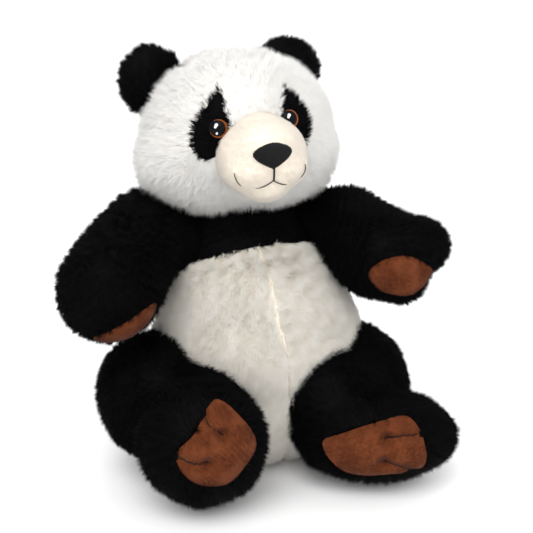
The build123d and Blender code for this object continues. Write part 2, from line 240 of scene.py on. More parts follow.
def leg_balls(side):
    sign = SIDES[side]
    hip, foot = HIP[side], FOOT[side].origin
    thigh = {"right": ((-11, -9, 8), (34, 42, 37)), "left": ((2, -10, 5), (33, 42, 37))}[side]
    ankle = foot + np.array((0, 22, 2.0))
    long_half, short_half, depth = FOOT_HALF[side]
    balls = chain([hip + (sign * 2, 4, 0), ankle], [36, min(short_half, 32)])
    balls.append((hip + np.array(thigh[0], float), np.array(thigh[1], float), np.eye(3)))
    inner = {"right": (18, -27, 3), "left": (-24, -31, 7)}[side]
    balls.append((hip + np.array(inner, float), np.array([30.0, 33, 32]), np.eye(3)))
    for shift, share in ((0, 1.0), (6, 0.93), (-8, 0.93)):
        balls.append(ball(FOOT[side], (0, 0, shift), (long_half * share, short_half * share, depth)))
    return balls


def tail_balls():
    return [ball(SPINE, (0, 66, 38), (13, 14, 12)), ball(SPINE, (0, 60, 40), (12, 12, 12))]


SHAPES = {"torso": torso_balls(), "head": head_balls(), "muzzle": muzzle_balls(), "tail": tail_balls()}
for _side in SIDES:
    SHAPES[f"ear_{_side}"] = ear_balls(_side)
    SHAPES[f"arm_{_side}"] = arm_balls(_side)
    SHAPES[f"leg_{_side}"] = leg_balls(_side)


class Skin:
    """A closed skin as arrays: points and their normals in millimetres, and triangles."""

    def __init__(self, points, triangles):
        self.points, self.triangles = points, triangles
        self.refresh()

    def refresh(self):
        """Normals and ray tree again, after the points have moved."""
        self.normals = vertex_normals(self.points, self.triangles)
        self.tree = BVHTree.FromPolygons(self.points.tolist(), self.triangles.tolist())


def read(collection, field, width, kind=float):
    """A field of a mesh's collection as rows of an array."""
    values = np.empty(len(collection) * width, np.float64 if kind is float else np.int32)
    collection.foreach_get(field, values)
    return values.reshape(-1, width)


def vertex_normals(points, triangles):
    """Normals at the points, weighted by the area of the triangles round them."""
    corners = points[triangles]
    face = np.cross(corners[:, 1] - corners[:, 0], corners[:, 2] - corners[:, 0])
    normals = np.zeros_like(points)
    for i in range(3):
        np.add.at(normals, triangles[:, i], face)
    return unit(normals)


def new_object(name, points, faces):
    """A mesh object from millimetres."""
    mesh = bpy.data.meshes.new(name)
    mesh.from_pydata((np.asarray(points, float) * MM).tolist(), [], [tuple(f) for f in faces])
    mesh.update()
    thing = bpy.data.objects.new(name, mesh)
    bpy.context.scene.collection.objects.link(thing)
    return thing


def evaluated(thing):
    """The object's mesh with its modifiers applied; the object itself is removed."""
    mesh = bpy.data.meshes.new_from_object(thing.evaluated_get(bpy.context.evaluated_depsgraph_get()))
    old = thing.data
    bpy.data.objects.remove(thing)
    bpy.data.meshes.remove(old)
    return mesh


def joined_form(name, voxel, smoothing):
    """One closed coarse form round a body's balls, remeshed and smoothed."""
    sphere = bpy.data.meshes.new("ball")
    bm = bmesh.new()
    bmesh.ops.create_icosphere(bm, subdivisions=4, radius=1)
    bm.to_mesh(sphere)
    bm.free()
    unit_points = read(sphere.vertices, "co", 3)
    unit_faces = [tuple(p.vertices) for p in sphere.polygons]
    points, faces = [], []
    for centre, radii, rotation in SHAPES[name]:
        start = len(points) * len(unit_points)
        points.append(centre + (unit_points * radii) @ rotation.T)
        faces += [tuple(i + start for i in f) for f in unit_faces]
    thing = new_object(name + "_form", np.concatenate(points), faces)
    remesh = thing.modifiers.new("remesh", "REMESH")
    remesh.mode = "VOXEL"
    remesh.voxel_size = voxel * MM
    smooth = thing.modifiers.new("smooth", "SMOOTH")
    smooth.factor = 0.5
    smooth.iterations = smoothing
    mesh = evaluated(thing)
    form = bpy.data.objects.new(name + "_form", mesh)
    bpy.context.scene.collection.objects.link(form)
    return form


def distance_to_seams(name, points):
    """Distance from points to the nearest sewn line of a body, in millimetres."""
    if name == "torso":
        local = SPINE.into(points)
        lines = [np.abs(local[:, 0]), np.abs(local[:, 1] - TORSO_SIDE), np.abs(yoke_edge(points))]
    elif name == "head":
        local = HEAD.into(points)
        lines = [np.abs(np.abs(local[:, 0]) - CROWN_HALF_WIDTH), np.abs(local[:, 1] - HEAD_BACK),
                 np.abs(local[:, 2] - CHIN_TOP)]
    elif name == "muzzle":
        local = HEAD.into(points)
        low = np.where(local[:, 2] < -20, 0, 50)
        lines = [np.abs(local[:, 0]) + low, np.abs(depth_inside(SHAPES["head"], points))]
    elif name.startswith("ear"):
        lines = [np.abs(EAR_PLACES[name[4:]].into(points)[:, 1])]
    elif name.startswith("arm"):
        side = name[4:]
        halves = axes(PAW[side] - SHOULDER[side], PALM_FACING[side])
        lines = [np.abs((points - SHOULDER[side]) @ halves[:, 0])]
    elif name.startswith("leg"):
        lines = [np.abs(FOOT[name[4:]].into(points)[:, 1])]
    else:
        lines = [np.full(len(points), 50.0)]
    return np.min(lines, axis=0)


def stuffed(forms):
    """Cloth pressure fills every form at once, held along its seams; the puff is capped."""
    starts = {name: read(form.data.vertices, "co", 3) / MM for name, form in forms.items()}
    for name, form in forms.items():
        held = np.nonzero(distance_to_seams(name, starts[name]) < VOXEL * SEAM_HOLD)[0]
        low = np.nonzero(starts[name][:, 2] < 6)[0]
        group = form.vertex_groups.new(name="seams")
        group.add([int(i) for i in np.union1d(held, low)], 1.0, "REPLACE")
        cloth = form.modifiers.new("cloth", "CLOTH")
        cloth.point_cache.frame_start, cloth.point_cache.frame_end = 1, PRESSURE_FRAMES
        settings = cloth.settings
        settings.quality = 5
        settings.mass = 0.3
        settings.tension_stiffness = settings.compression_stiffness = CLOTH_STIFFNESS
        settings.bending_stiffness = 0.5
        settings.use_pressure = True
        settings.uniform_pressure_force = PRESSURE
        settings.effector_weights.gravity = 0
        settings.vertex_group_mass = "seams"
        cloth.collision_settings.use_collision = False
    for frame_number in range(1, PRESSURE_FRAMES + 1):
        bpy.context.scene.frame_set(frame_number)
    ends = {}
    depsgraph = bpy.context.evaluated_depsgraph_get()
    for name, form in forms.items():
        end = read(form.evaluated_get(depsgraph).data.vertices, "co", 3) / MM
        move = end - starts[name]
        size = np.linalg.norm(move, axis=1, keepdims=True)
        move = np.where(np.isfinite(move), move, 0.0)
        ends[name] = starts[name] + move * np.minimum(1.0, MOST_PUFF / np.maximum(size, 1e-6))
        form.modifiers.clear()
    bpy.context.scene.frame_set(1)
    return ends


def finished_skin(form, points):
    """The stuffed form subdivided once, smoothed and resting flat on the floor."""
    form.data.vertices.foreach_set("co", (points * MM).astype(np.float32).reshape(-1))
    form.data.update()
    finer = form.modifiers.new("subdivision", "SUBSURF")
    finer.levels = finer.render_levels = 1
    smooth = form.modifiers.new("smooth", "SMOOTH")
    smooth.factor = 0.5
    smooth.iterations = 3
    mesh = evaluated(form)
    mesh.calc_loop_triangles()
    shaped = read(mesh.vertices, "co", 3) / MM
    band_top = FLOOR_GAP + RESTING_BAND
    low = shaped[:, 2] < band_top
    shaped[low, 2] = band_top + (shaped[low, 2] - FLOOR_GAP - RESTING_BAND) * RESTING_SHARE
    shaped[:, 2] = np.maximum(shaped[:, 2], FLOOR_GAP)
    return Skin(shaped, read(mesh.loop_triangles, "vertices", 3, int))


def all_skins():
    """Every body's skin by name; the muzzle has finer cells than the rest."""
    forms = {name: joined_form(name, VOXEL, 4) for name in SHAPES if name != "muzzle"}
    forms["muzzle"] = joined_form("muzzle", MUZZLE_VOXEL, 6)
    ends = stuffed(forms)
    return {name: finished_skin(form, ends[name]) for name, form in forms.items()}


def yoke_edge(points):
    """How far above the seam between black yoke and white belly, an arch in front."""
    local = SPINE.into(points)
    return local[:, 2] - (YOKE_HEIGHT - YOKE_ARCH * local[:, 0] ** 2)


SKINS = all_skins()


# ---------------------------------------------------------------------------------------- materials
def material(name):
    """An empty node material with its Principled shader."""
    made = bpy.data.materials.new(name)
    made.use_nodes = True
    nodes, links = made.node_tree.nodes, made.node_tree.links
    return made, nodes, links, nodes["Principled BSDF"]


def colour_ramp(nodes, first, last):
    """A ramp node between two colours."""
    ramp = nodes.new("ShaderNodeValToRGB")
    ramp.color_ramp.elements[0].color = (*first, 1)
    ramp.color_ramp.elements[1].color = (*last, 1)
    return ramp


def set_surface(shader, roughness, sheen, shine):
    shader.inputs["Roughness"].default_value = roughness
    shader.inputs["Sheen Weight"].default_value = sheen
    shader.inputs["Specular IOR Level"].default_value = shine


def strand_material(name, root, tip, dark, light, roughness=0.6, sheen=0.3, shine=0.3):
    """Pile strands: V runs from root to tip, U is the strand's own tone from dark to light."""
    made, nodes, links, shader = material(name)
    uv = nodes.new("ShaderNodeUVMap")
    uv.uv_map = "OFBake"
    split = nodes.new("ShaderNodeSeparateXYZ")
    links.new(uv.outputs["UV"], split.inputs["Vector"])
    along = colour_ramp(nodes, root, tip)
    links.new(split.outputs["Y"], along.inputs["Fac"])
    tone = colour_ramp(nodes, dark, light)
    links.new(split.outputs["X"], tone.inputs["Fac"])
    mix = nodes.new("ShaderNodeMix")
    mix.data_type = "RGBA"
    mix.blend_type = "MULTIPLY"
    mix.inputs["Factor"].default_value = 1.0
    links.new(along.outputs["Color"], mix.inputs["A"])
    links.new(tone.outputs["Color"], mix.inputs["B"])
    links.new(mix.outputs["Result"], shader.inputs["Base Color"])
    set_surface(shader, roughness, sheen, shine)
    return made


def cloth_material(name, colour, variation, scale, roughness=0.9, bump=0.3, bump_scale=900, sheen=0.1,
                   shine=0.1):
    """Fabric backing or nap: mottled colour at one scale, fine bump at another."""
    made, nodes, links, shader = material(name)
    coordinates = nodes.new("ShaderNodeTexCoord")
    mottle = nodes.new("ShaderNodeTexNoise")
    mottle.inputs["Scale"].default_value = scale
    mottle.inputs["Detail"].default_value = 5
    links.new(coordinates.outputs["Object"], mottle.inputs["Vector"])
    ramp = colour_ramp(nodes, [c * (1 - variation) for c in colour],
                       [min(1, c * (1 + variation)) for c in colour])
    ramp.color_ramp.elements[0].position = 0.3
    ramp.color_ramp.elements[1].position = 0.7
    links.new(mottle.outputs["Fac"], ramp.inputs["Fac"])
    links.new(ramp.outputs["Color"], shader.inputs["Base Color"])
    fine = nodes.new("ShaderNodeTexNoise")
    fine.inputs["Scale"].default_value = bump_scale
    fine.inputs["Detail"].default_value = 4
    links.new(coordinates.outputs["Object"], fine.inputs["Vector"])
    height = nodes.new("ShaderNodeBump")
    height.inputs["Strength"].default_value = bump
    height.inputs["Distance"].default_value = 0.0006
    links.new(fine.outputs["Fac"], height.inputs["Height"])
    links.new(height.outputs["Normal"], shader.inputs["Normal"])
    set_surface(shader, roughness, sheen, shine)
    return made


WHITE_STRANDS = strand_material("white_strands", (0.94, 0.925, 0.89), (0.985, 0.972, 0.945),
                                (0.95, 0.94, 0.93), (1, 1, 1), 0.55, 0.25)
BELLY_STRANDS = strand_material("belly_strands", (0.95, 0.89, 0.78), (1.0, 0.98, 0.93),
                                (0.94, 0.91, 0.86), (1, 1, 1), 0.7, 0.2)
MUZZLE_STRANDS = strand_material("muzzle_strands", (0.93, 0.83, 0.70), (0.975, 0.905, 0.80),
                                 (0.95, 0.94, 0.93), (1, 1, 1), 0.8, 0.2)
BLACK_STRANDS = strand_material("black_strands", (0.0015, 0.0015, 0.0018), (0.0038, 0.0039, 0.0048),
                                (0.5, 0.5, 0.52), (1, 1, 1), 0.55, 0.0, 0.045)
SUEDE_STRANDS = strand_material("suede_nap", (0.060, 0.015, 0.006), (0.175, 0.050, 0.020),
                                (0.6, 0.57, 0.55), (1, 1, 1), 0.85, 0.05, 0.06)
WHITE_BACKING = cloth_material("white_backing", (0.90, 0.87, 0.82), 0.05, 60)
BELLY_BACKING = cloth_material("belly_backing", (0.84, 0.76, 0.65), 0.07, 60)
MUZZLE_BACKING = cloth_material("muzzle_backing", (0.93, 0.83, 0.71), 0.03, 80)
BLACK_BACKING = cloth_material("black_backing", (0.0025, 0.0025, 0.003), 0.2, 60, sheen=0.0, shine=0.03)
SUEDE = cloth_material("brown_suede", (0.115, 0.031, 0.011), 0.15, 300, 0.9, 0.6, 1500, 0.05, 0.05)
BLACK_THREAD = cloth_material("black_thread", (0.004, 0.004, 0.0045), 0.4, 300, 0.6, 0.5, 2500, 0.0, 0.2)
CAD_FINISHES = {"white_thread": ((0.8, 0.77, 0.7), 200), "pellet_cloth": ((0.75, 0.72, 0.66), 120),
                "stuffing": ((0.9, 0.9, 0.88), 40), "washer_plastic": ((0.8, 0.8, 0.78), 30)}


# --------------------------------------------------------------------------------------------- pile
def seed(name):
    """The same number for a name in every run."""
    return zlib.crc32(name.encode())


def wave_field(name, wavelength, count=14):
    """A smooth random vector field over space, as a function of points in millimetres."""
    rng = np.random.default_rng(seed(name))
    waves = unit(rng.normal(size=(count, 3))) * (2 * math.pi / wavelength) * rng.uniform(0.7, 1.4, (count, 1))
    phases = rng.uniform(0, 2 * math.pi, count)
    amounts = rng.normal(size=(count, 3)) / math.sqrt(count) * 1.4

    def field(points):
        return np.sin(points @ waves.T + phases) @ amounts
    return field


def scatter(skin, per_mm2, rng, keep):
    """Random points on the kept part of a skin, with their normals."""
    corners = skin.points[skin.triangles]
    area = np.linalg.norm(np.cross(corners[:, 1] - corners[:, 0], corners[:, 2] - corners[:, 0]), axis=1) / 2
    count = int(area.sum() * per_mm2)
    chosen = rng.choice(len(area), count, p=area / area.sum())
    a, b = np.sqrt(rng.random(count)), rng.random(count)
    weights = np.stack([1 - a, a * (1 - b), a * b], axis=1)
    points = (corners[chosen] * weights[:, :, None]).sum(1)
    normals = unit((skin.normals[skin.triangles[chosen]] * weights[:, :, None]).sum(1))
    kept = keep(points, normals)
    return points[kept], normals[kept]


def pile(name, body, skin, coat, keep, flow):
    """Pile over part of a skin: three-sided strands, tapered to a point and open at the root, that
    lean along the flow, waver and clump. The shading normals lie near the skin's own.

    coat: material, per_mm2, length, width, lean, droop, waver, clump, clump_size, scatter, slot.
    """
    rng = np.random.default_rng(seed(name))
    roots, normals = scatter(skin, coat["per_mm2"], rng, keep)
    count = len(roots)
    length = coat["length"](roots) if callable(coat["length"]) else np.full(count, float(coat["length"]))
    length = length * rng.uniform(0.72, 1.12, count)
    way = flow(roots, normals)
    way = unit(way - normals * (way * normals).sum(1, keepdims=True))
    waver = wave_field(name + "waver", coat["clump_size"] * 5)(roots)
    clump = wave_field(name + "clump", coat["clump_size"])(roots)
    loose = rng.normal(size=(count, 3))
    rise = unit(normals + way * coat["lean"] + waver * coat["waver"] * 0.5 + clump * coat["clump"] * 0.5
                + loose * coat["scatter"])
    fall = unit(rise + way * coat["droop"] + clump * coat["clump"] + waver * coat["waver"]
                + loose * coat["scatter"] * 0.6 + np.array((0, 0, -0.12)))
    half = (coat["width"] / 2 * rng.uniform(0.75, 1.25, count))[:, None]
    reach = length[:, None]
    start = roots - normals * 0.5
    tip = roots + unit(rise + fall) * reach
    for level in (start, tip):
        level[:, 2] = np.maximum(level[:, 2], FLOOR_GAP)
    along = unit(tip - start)
    side = unit(np.cross(along, rng.normal(size=(count, 3))))
    other = np.cross(along, side)
    ring = [start + (side * math.cos(angle) + other * math.sin(angle)) * half
            for angle in (0, math.tau / 3, math.tau * 2 / 3)]
    vertices = np.stack([*ring, tip], axis=1).reshape(-1, 3)
    base = np.arange(count)[:, None] * 4
    triangles = np.concatenate([base + (0, 1, 3), base + (1, 2, 3), base + (2, 0, 3)], axis=1)
    triangles = triangles.reshape(-1, 3)
    thing = triangle_object(name, vertices, triangles)
    tone = 0.02 + 0.96 * np.clip(0.5 + 0.28 * clump[:, 0] + rng.uniform(-0.4, 0.4, count), 0, 1)
    across = np.stack([tone, tone + 0.004, tone + 0.002, tone + 0.002], axis=1)
    up = np.tile((0.0, 0.0, 0.0, 1.0), (count, 1))
    per_vertex = np.stack([across, 0.01 + 0.98 * up], axis=2).reshape(-1, 2)
    layer = thing.data.uv_layers.new(name="OFBake")
    layer.data.foreach_set("uv", per_vertex[triangles.reshape(-1)].astype(np.float32).reshape(-1))
    facing = unit(normals + rise * 0.35)
    set_normals(thing.data, np.repeat(facing, 4, axis=0))
    thing.data.materials.append(coat["material"])
    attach(thing, body)
    return thing


def triangle_object(name, points, triangles):
    """A triangle mesh object from arrays, in millimetres."""
    mesh = bpy.data.meshes.new(name)
    mesh.vertices.add(len(points))
    mesh.vertices.foreach_set("co", (points * MM).astype(np.float32).reshape(-1))
    mesh.loops.add(len(triangles) * 3)
    mesh.loops.foreach_set("vertex_index", triangles.astype(np.int32).reshape(-1))
    mesh.polygons.add(len(triangles))
    mesh.polygons.foreach_set("loop_start", np.arange(0, len(triangles) * 3, 3, dtype=np.int32))
    mesh.polygons.foreach_set("loop_total", np.full(len(triangles), 3, np.int32))
    mesh.update(calc_edges=True)
    thing = bpy.data.objects.new(name, mesh)
    bpy.context.scene.collection.objects.link(thing)
    return thing


def shade_smooth(mesh):
    mesh.polygons.foreach_set("use_smooth", np.ones(len(mesh.polygons), bool))


def set_normals(mesh, normals):
    shade_smooth(mesh)
    mesh.normals_split_custom_set_from_vertices(normals.astype(np.float32).tolist())


def panel(name, body, skin, inside, backing, replaced=()):
    """The part of a skin whose faces lie inside a region, as fabric with a thickness."""
    centres = skin.points[skin.triangles].mean(1)
    normals = unit(skin.normals[skin.triangles].sum(1))
    kept = skin.triangles[inside(centres, normals)]
    used, faces = np.unique(kept, return_inverse=True)
    thing = triangle_object(name, skin.points[used], faces.reshape(-1, 3))
    shade_smooth(thing.data)
    thick = thing.modifiers.new("thickness", "SOLIDIFY")
    thick.thickness = SKIN_THICKNESS * MM
    thick.offset = -1
    mesh = bpy.data.meshes.new_from_object(thing.evaluated_get(bpy.context.evaluated_depsgraph_get()))
    thing.modifiers.clear()
    old = thing.data
    thing.data = mesh
    bpy.data.meshes.remove(old)
    mesh.name = name
    mesh.materials.append(backing)
    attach(thing, body)
    if replaced:
        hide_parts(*replaced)
    return thing


# --------------------------------------------------------------------------------------- flow of pile
def away_from(point):
    """Pile that radiates from a point."""
    def flow(points, normals):
        return points - np.asarray(point, float)
    return flow


def towards(direction):
    """Pile that lies one way."""
    def flow(points, normals):
        return np.tile(np.asarray(direction, float), (len(points), 1))
    return flow


def clear_of(*names, reach=4.0, deepest=13.0):
    """Keeps roots outside other bodies' skins, and buried ones that a swing may bring out."""
    def keep(points, normals):
        kept = np.ones(len(points), bool)
        for name in names:
            inside = depth_inside(SHAPES[name], points)
            kept &= (inside < 0.3) | ((inside > reach) & (inside < deepest))
        return kept
    return keep


def both(*tests):
    """Keeps what passes every test."""
    def keep(points, normals):
        kept = np.ones(len(points), bool)
        for test in tests:
            kept &= test(points, normals)
        return kept
    return keep


# ---------------------------------------------------------------------------------------------- head
MUZZLE_MIDDLE = HEAD.out((0, -48, -12))
EYE_LOCAL = {"right": (-23.2, 0, 4.8), "left": (19.8, 0, 5.6)}


def on_skin(skin, start, direction):
    """Where a ray first meets a skin, with the normal there."""
    hit, normal, _, _ = skin.tree.ray_cast(Vector(start), Vector(direction))
    if hit is None:
        middle = Vector(skin.points.mean(0))
        way = Vector(direction)
        hit, normal, _, _ = skin.tree.find_nearest(Vector(start) + way * way.dot(middle - Vector(start)))
    return np.array(hit), np.array(normal)


# Outline of an eye patch about its eye: outward and up, from the point at the top
PATCH_OUTLINE = [(0, 24), (3, 20), (8, 13), (12.5, 4), (14, -4), (12.5, -11), (7.5, -16.5), (0, -17),
                 (-5, -12), (-7, -5), (-7, 2), (-5, 9), (-3, 18)]
PATCH_SHEAR = {"right": 0.20, "left": 0.0}
PATCH_TOP_SHARE = {"right": 1.05, "left": 1.25}


def eye_patch(points, margin=0.0):
    """Inside of the black teardrop round either eye, drawn up to a point."""
    local = HEAD.into(points)
    inside = np.zeros(len(points), bool)
    outline = np.array(PATCH_OUTLINE, float)
    outline = outline + unit(outline - (4, 0)) * margin
    for side, sign in SIDES.items():
        up = local[:, 2] - EYE_LOCAL[side][2]
        out = (local[:, 0] - EYE_LOCAL[side][0]) * sign + PATCH_SHEAR[side] * up
        up = np.where(up > 0, up * PATCH_TOP_SHARE[side], up)
        odd = np.zeros(len(points), bool)
        for (x0, z0), (x1, z1) in zip(outline, np.roll(outline, -1, axis=0)):
            between = (z0 > up) != (z1 > up)
            slope = (x1 - x0) / (z1 - z0 if z1 != z0 else 1e-9)
            odd ^= between & (out < x0 + (up - z0) * slope)
        inside |= odd & (local[:, 1] < 0)
    return inside


def head_flow(points, normals):
    """From the muzzle outward, over the crown to the back, and down the cheeks."""
    away = unit(points - MUZZLE_MIDDLE)
    local = HEAD.into(points)
    down = np.clip((-local[:, 2] + 6) / 50, 0, 1)[:, None]
    return away + np.array((0, 0.1, -0.9)) * down


def head_length(points):
    """Short beside the muzzle, long on the cheeks and chin."""
    far = np.linalg.norm(points - MUZZLE_MIDDLE, axis=1)
    local = HEAD.into(points)
    ruff = np.clip((-local[:, 2] - 5) / 35, 0, 1)
    return 5.2 + 4.0 * np.clip((far - 28) / 40, 0, 1) + 3.5 * ruff


WHITE_COAT = {"material": WHITE_STRANDS, "slot": "white_pile", "per_mm2": 4.6, "length": head_length,
              "width": 0.50, "lean": 0.75, "droop": 0.55, "waver": 0.22, "clump": 0.22, "clump_size": 5.0,
              "scatter": 0.14}
PATCH_COAT = {"material": BLACK_STRANDS, "slot": "black_pile", "per_mm2": 5.0, "length": 4.6,
              "width": 0.42, "lean": 0.7, "droop": 0.5, "waver": 0.3, "clump": 0.35, "clump_size": 4.0,
              "scatter": 0.16}
BLACK_COAT = {"material": BLACK_STRANDS, "slot": "black_pile", "per_mm2": 2.1, "length": 5.8,
              "width": 0.55, "lean": 0.8, "droop": 0.5, "waver": 0.25, "clump": 0.30, "clump_size": 5.0,
              "scatter": 0.18}
BELLY_COAT = {"material": BELLY_STRANDS, "slot": "belly_pile", "per_mm2": 6.0, "length": 6.4,
              "width": 0.36, "lean": 0.65, "droop": 0.45, "waver": 0.14, "clump": 0.20, "clump_size": 8.0,
              "scatter": 0.16}
BACK_COAT = {**WHITE_COAT, "per_mm2": 2.2, "length": 6.5, "width": 0.65}
MUZZLE_COAT = {"material": MUZZLE_STRANDS, "slot": "muzzle_plush", "per_mm2": 9.0, "length": 1.3,
               "width": 0.26, "lean": 0.6, "droop": 0.2, "waver": 0.12, "clump": 0.10, "clump_size": 4.0,
               "scatter": 0.14}
NAP_COAT = {"material": SUEDE_STRANDS, "slot": "brown_suede", "per_mm2": 9.0, "length": 0.8,
            "width": 0.28, "lean": 0.9, "droop": 0.3, "waver": 0.6, "clump": 0.4, "clump_size": 3.0,
            "scatter": 0.3}


def head():
    """The head's five panels and its eye patches, each with its pile."""
    skin = SKINS["head"]
    open_front = both(lambda p, n: depth_inside(SHAPES["muzzle"], p) <= 1.5,
                      clear_of("torso", reach=6, deepest=14))
    local_x = lambda p: HEAD.into(p)[:, 0]
    is_back = lambda p: HEAD.into(p)[:, 1] >= HEAD_BACK
    is_low = lambda p: HEAD.into(p)[:, 2] <= CHIN_TOP
    upper = lambda p: ~is_back(p) & ~is_low(p)
    regions = {
        "head_crown": lambda p, n: upper(p) & (np.abs(local_x(p)) < CROWN_HALF_WIDTH),
        "head_side_right": lambda p, n: upper(p) & (local_x(p) <= -CROWN_HALF_WIDTH),
        "head_side_left": lambda p, n: upper(p) & (local_x(p) >= CROWN_HALF_WIDTH),
        "head_back": lambda p, n: is_back(p),
        "chin": lambda p, n: ~is_back(p) & is_low(p),
    }
    nodes = {"head_crown": ["head_crown_panel", "head_filling"], "head_back": ["head_back_panel"],
             "head_side_right": ["head_side_panel_right"], "head_side_left": ["head_side_panel_left"],
             "chin": ["chin_panel"]}
    for name, region in regions.items():
        outside = both(region, lambda p, n: ~eye_patch(p))
        panel(name + "_skin", "head", skin, outside, WHITE_BACKING, nodes[name])
        pile(name + "_pile", "head", skin, WHITE_COAT, both(outside, open_front), head_flow)
    for side, sign in SIDES.items():
        patch = lambda p, n, s=sign: eye_patch(p) & (local_x(p) * s > 0)
        panel(f"eye_patch_{side}_skin", "head", skin, patch, BLACK_BACKING,
              [f"eye_patch_{side}"])
        shaggy = lambda p, n, s=sign: eye_patch(p, 0.8) & (local_x(p) * s > 0)
        pile(f"eye_patch_{side}_pile", "head", skin, PATCH_COAT, both(shaggy, open_front, clear_of_eye(side)),
             head_flow)


def clear_of_eye(side, radius=5.6):
    """Keeps pile off the plastic of an eye."""
    centre = eye_centre(side)[0]
    return lambda p, n: np.linalg.norm(p - centre, axis=1) > radius


def eye_centre(side):
    """Point and normal of the head's skin where an eye is fixed."""
    x, _, z = EYE_LOCAL[side]
    return on_skin(SKINS["head"], HEAD.out((x, -90, z)), HEAD.rotation @ (0, 1, 0))


def muzzle():
    """The muzzle's cover and its short plush, which leaves the nose bare."""
    skin = SKINS["muzzle"]
    outside = lambda p, n: depth_inside(SHAPES["head"], p) < 3.0
    panel("muzzle_skin", "head", skin, outside, MUZZLE_BACKING,
          ["muzzle_cover", "muzzle_filling"])
    clear = lambda p, n: (depth_inside(SHAPES["head"], p) < 0.5) & ~inside_nose(p)
    pile("muzzle_pile", "head", skin, MUZZLE_COAT, clear, away_from(HEAD.out((0, -78, -10))))


# ------------------------------------------------------------------------------- nose, mouth and eyes
NOSE_MIDDLE = (0.5, -11.5)          # x, z in head coordinates
NOSE_HALF_WIDTH, NOSE_UP, NOSE_DOWN = 11.2, 6.6, 8.2
NOSE_STITCHES = 33
NOSE_THREAD, MOUTH_THREAD, TOE_THREAD = 0.47, 0.3, 0.35     # radii

# From the foot of the drop to the corner of the mouth: outward, up, and lift off the plush
SMILE = [(0, 0, 0.9), (2.6, -1.6, 0.9), (5.4, -3.0, 0.7), (8.5, -4.0, 0.1), (12.5, -4.2, -0.5),
         (16.5, -2.8, -0.3), (19.4, 0.2, 0.6), (21.0, 4.2, 0.9), (21.4, 6.4, 0.2)]


def nose_half_width(z):
    """Half width of the nose at a height above its middle: a triangle with rounded corners."""
    t = np.clip((z + NOSE_DOWN) / (NOSE_UP + NOSE_DOWN), 0, 1)
    return NOSE_HALF_WIDTH * np.clip(np.sin(math.pi * t ** 1.4), 0, 1) ** 0.6


def inside_nose(points):
    local = HEAD.into(points)
    x, z = local[:, 0] - NOSE_MIDDLE[0], local[:, 2] - NOSE_MIDDLE[1]
    return (np.abs(x) < nose_half_width(z) + 0.2) & (z > -NOSE_DOWN) & (z < NOSE_UP) & (local[:, 1] < -50)


def tube(points, radius, sides=6):
    """Vertices and faces of a tube along points, closed at both ends."""
    points = np.asarray(points, float)
    along = unit(np.gradient(points, axis=0))
    up = unit(np.cross(along, np.tile((0.31, 0.55, 0.77), (len(points), 1))))
    side = np.cross(along, up)
    angles = np.arange(sides) * 2 * math.pi / sides
    radii = np.full(len(points), radius) if np.isscalar(radius) else np.asarray(radius)
    rings = (points[:, None] + radii[:, None, None] * (np.cos(angles)[None, :, None] * up[:, None]
                                                      + np.sin(angles)[None, :, None] * side[:, None]))
    faces = []
    for ring in range(len(points) - 1):
        for k in range(sides):
            a, b = ring * sides + k, ring * sides + (k + 1) % sides
            faces.append((a, b, b + sides, a + sides))
    faces.append(tuple(reversed(range(sides))))
    faces.append(tuple(range((len(points) - 1) * sides, len(points) * sides)))
    return rings.reshape(-1, 3), faces


def smooth_line(points, steps, closed=False):
    """A Catmull-Rom curve through points."""
    points = np.asarray(points, float)
    if closed:
        before, after = np.roll(points, 1, 0), np.roll(points, -1, 0)
        later = np.roll(points, -2, 0)
    else:
        padded = np.concatenate([points[:1], points, points[-1:]])
        before, points, after, later = padded[:-3], padded[1:-2], padded[2:-1], padded[3:]
    curve = []
    for a, b, c, d in zip(before, points, after, later):
        for t in np.arange(steps) / steps:
            curve.append(b + 0.5 * t * (c - a + t * (2 * a - 5 * b + 4 * c - d + t * (3 * (b - c) + d - a))))
    if not closed:
        curve.append(after[-1])
    return np.array(curve)


def threads(name, lines, radius, body, finish, replaced=()):
    """Many short threads as one piece."""
    points, faces, start = [], [], 0
    for line in lines:
        verts, polygons = tube(line, radius)
        points.append(verts)
        faces += [tuple(i + start for i in f) for f in polygons]
        start += len(verts)
    thing = new_object(name, np.concatenate(points), faces)
    shade_smooth(thing.data)
    thing.data.materials.append(finish)
    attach(thing, body)
    if replaced:
        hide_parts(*replaced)
    return thing


def on_muzzle(x, z, lift):
    """A point straight in front of the muzzle at x, z in head coordinates."""
    start = HEAD.out((x, -110, z))
    hit, normal = on_skin(SKINS["muzzle"], start, HEAD.rotation @ (0, 1, 0))
    return hit + normal * lift


